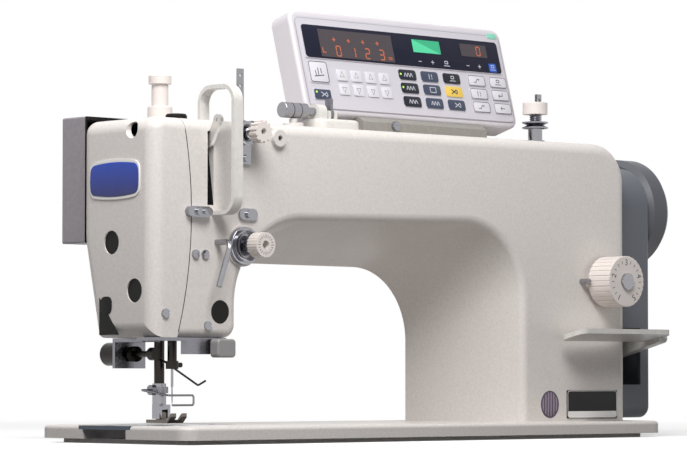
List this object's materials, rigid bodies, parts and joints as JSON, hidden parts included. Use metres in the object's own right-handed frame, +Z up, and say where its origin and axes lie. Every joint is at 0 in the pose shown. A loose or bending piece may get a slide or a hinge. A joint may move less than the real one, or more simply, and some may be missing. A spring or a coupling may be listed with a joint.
{
  "type": "needle feed sewing machine",
  "caption": "Industrial lockstitch sewing machine head on a flat bed: arm over a work gap, feeding needle, presser foot, tensions, bobbin winder, key panel, direct drive cover and handwheel.",
  "frame": {"origin": "the needle's drop point on the bed's top face", "axes": "+X along the arm towards the handwheel, +Y to the back, +Z up"},
  "size_m": [0.5885, 0.178, 0.3833],
  "materials": {
    "body_paint": "warm off-white leather-grain paint",
    "dark_cover": "dark grey moulding",
    "panel_shell": "pale lavender-grey moulding",
    "panel_keys": "printed key membrane",
    "bright_steel": "bright plated steel",
    "ground_steel": "ground steel",
    "dark_iron": "bare iron",
    "black_rubber": "matt black",
    "badge_blue": "plain blue badge",
    "ivory_plastic": "ivory moulding",
    "bronze": "plain bearing bronze",
    "plate_face": "printed plate without words"
  },
  "bodies": {
    "frame": {"arm_casting": "body_paint", "badge_plate": "badge_blue", "bed_casting": "body_paint", "bobbin_case": "ground_steel", "cover_screws": "bright_steel", "face_plate": "body_paint", "fixed_pins": "bright_steel", "hook_finger": "ground_steel", "motor_cover": "dark_cover", "nameplate": "plate_face", "needle_plate": "ground_steel", "panel_bracket": "panel_shell", "panel_case": "panel_shell", "panel_overlay": "panel_keys", "pre_tension": "bright_steel", "presser_lock_ring": "ivory_plastic", "rear_box": "panel_shell", "rubber_plugs": "black_rubber", "shaft_bushes": "bronze", "switch_bracket": "bright_steel", "take_up_guard": "body_paint", "tension_discs": "bright_steel", "tension_post": "bright_steel", "thread_guides": "bright_steel", "timing_belt": "black_rubber", "winder_base": "ivory_plastic", "winder_tension": "bright_steel", "wiper_bracket": "bright_steel", "wiper_solenoid": "dark_cover"},
    "main_drive": {"main_shaft": "ground_steel", "handwheel": "dark_cover", "upper_pulley": "dark_iron"},
    "hook_drive": {"lower_shaft": "ground_steel", "rotary_hook": "ground_steel"},
    "feed_rocker": {"feed_rock_shaft": "ground_steel"},
    "feed_carrier": {"feed_bar": "dark_iron", "feed_dog": "ground_steel"},
    "needle_frame": {"needle_bar_frame": "dark_iron"},
    "needle_slider": {"needle_bar": "bright_steel", "needle": "bright_steel"},
    "needle_con_rod": {"needle_link": "ground_steel"},
    "take_up": {"take_up_lever": "bright_steel"},
    "lifter": {"hand_lifter": "dark_iron"},
    "presser": {"presser_bar": "bright_steel", "foot_shank": "bright_steel", "finger_guard": "bright_steel"},
    "sole": {"foot_sole": "bright_steel"},
    "wiper": {"wiper_arm": "bright_steel"},
    "reverse": {"reverse_lever": "body_paint"},
    "dial": {"stitch_dial": "ivory_plastic", "dial_cap": "bright_steel"},
    "tension_nut": {"tension_knob": "ivory_plastic"},
    "pre_tension_nut": {"pre_tension_knob": "ivory_plastic"},
    "winder_nut": {"winder_tension_knob": "ivory_plastic"},
    "pressure_screw": {"presser_screw": "ivory_plastic"},
    "winder": {"winder_spindle": "bright_steel"},
    "winder_trip": {"winder_lever": "bright_steel"},
    "hand_switch": {"switch_button": "panel_shell"},
    "slide": {"slide_plate": "ground_steel"}
  },
  "joints": [
    {"name": "main_spin", "type": "hinge", "parent": "frame", "child": "main_drive", "pos_m": [0.25, 0, 0.178], "axis": [1, 0, 0], "continuous": true},
    {"name": "hook_spin", "type": "hinge", "parent": "frame", "child": "hook_drive", "pos_m": [0.2, 0, -0.03], "axis": [1, 0, 0], "continuous": true},
    {"name": "feed_rock", "type": "hinge", "parent": "frame", "child": "feed_rocker", "pos_m": [0.19, 0.036, -0.0306], "axis": [1, 0, 0], "range_deg": [-7, 7]},
    {"name": "feed_level", "type": "hinge", "parent": "feed_rocker", "child": "feed_carrier", "pos_m": [0.027, 0.036, -0.0166], "axis": [1, 0, 0], "range_deg": [-7.2, 7.2]},
    {"name": "needle_rock", "type": "hinge", "parent": "frame", "child": "needle_frame", "pos_m": [0, 0, 0.216], "axis": [1, 0, 0], "range_deg": [-0.5, 0.5]},
    {"name": "needle_stroke", "type": "slide", "parent": "needle_frame", "child": "needle_slider", "axis": [0, 0, 1], "range_m": [-0.027, 0.0034]},
    {"name": "link_swing", "type": "hinge", "parent": "needle_slider", "child": "needle_con_rod", "pos_m": [0.0096, 0, 0.145], "axis": [1, 0, 0], "range_deg": [-5, 34]},
    {"name": "take_up_swing", "type": "hinge", "parent": "frame", "child": "take_up", "pos_m": [0.0096, 0, 0.206], "axis": [1, 0, 0], "range_deg": [0, 44]},
    {"name": "presser_lift", "type": "slide", "parent": "frame", "child": "presser", "axis": [0, 0, 1], "range_m": [0, 0.006]},
    {"name": "hand_lift", "type": "hinge", "parent": "frame", "child": "lifter", "pos_m": [0.006, 0.045, 0.122], "axis": [0, -1, 0], "range_deg": [0, 62]},
    {"name": "sole_tilt", "type": "hinge", "parent": "presser", "child": "sole", "pos_m": [0, 0.013, 0.008], "axis": [1, 0, 0], "range_deg": [-3, 2]},
    {"name": "wiper_swing", "type": "hinge", "parent": "frame", "child": "wiper", "pos_m": [-0.012, 0.03, 0.054], "axis": [0, 1, 0], "range_deg": [0, 15], "stiffness_Nm_per_rad": 0.3, "springref_deg": -11.46},
    {"name": "reverse_press", "type": "hinge", "parent": "frame", "child": "reverse", "pos_m": [0.464, -0.018, 0.058], "axis": [1, 0, 0], "range_deg": [0, 18], "stiffness_Nm_per_rad": 2, "springref_deg": -8.59},
    {"name": "stitch_dial_turn", "type": "hinge", "parent": "frame", "child": "dial", "pos_m": [0.411, -0.08, 0.1155], "axis": [0, -1, 0], "range_deg": [-126, 189]},
    {"name": "tension_turn", "type": "hinge", "parent": "frame", "child": "tension_nut", "pos_m": [0.031, -0.065, 0.136], "axis": [0, -1, 0], "range_deg": [-720, 720]},
    {"name": "pre_tension_turn", "type": "hinge", "parent": "frame", "child": "pre_tension_nut", "pos_m": [0.033, -0.062, 0.222], "axis": [0, -1, 0], "range_deg": [-720, 720]},
    {"name": "winder_tension_turn", "type": "hinge", "parent": "frame", "child": "winder_nut", "pos_m": [0.371, -0.026, 0.262], "axis": [0, 0, 1], "range_deg": [-720, 720]},
    {"name": "pressure_turn", "type": "hinge", "parent": "frame", "child": "pressure_screw", "pos_m": [0, 0.0155, 0.25], "axis": [0, 0, 1], "range_deg": [-720, 720]},
    {"name": "winder_spin", "type": "hinge", "parent": "frame", "child": "winder", "pos_m": [0.12, -0.015, 0.2455], "axis": [1, 0, 0], "continuous": true},
    {"name": "winder_trip_swing", "type": "hinge", "parent": "frame", "child": "winder_trip", "pos_m": [0.148, -0.015, 0.2448], "axis": [1, 0, 0], "range_deg": [-20, 20]},
    {"name": "switch_press", "type": "slide", "parent": "frame", "child": "hand_switch", "axis": [0, 1, 0], "range_m": [0, 0.002], "stiffness_N_per_m": 500, "springref_m": -0.0008},
    {"name": "slide_open", "type": "slide", "parent": "frame", "child": "slide", "axis": [-1, 0, 0], "range_m": [0, 0.04]}
  ],
  "couplings": [
    {"joint": "hook_spin", "follows": "main_spin", "ratio": 2},
    {"joint": "feed_level", "follows": "feed_rock", "ratio": -1},
    {"joint": "needle_rock", "follows": "feed_rock", "ratio": -0.064815},
    {"joint": "hand_lift", "follows": "presser_lift", "rad_per_m": 174.53}
  ]
}
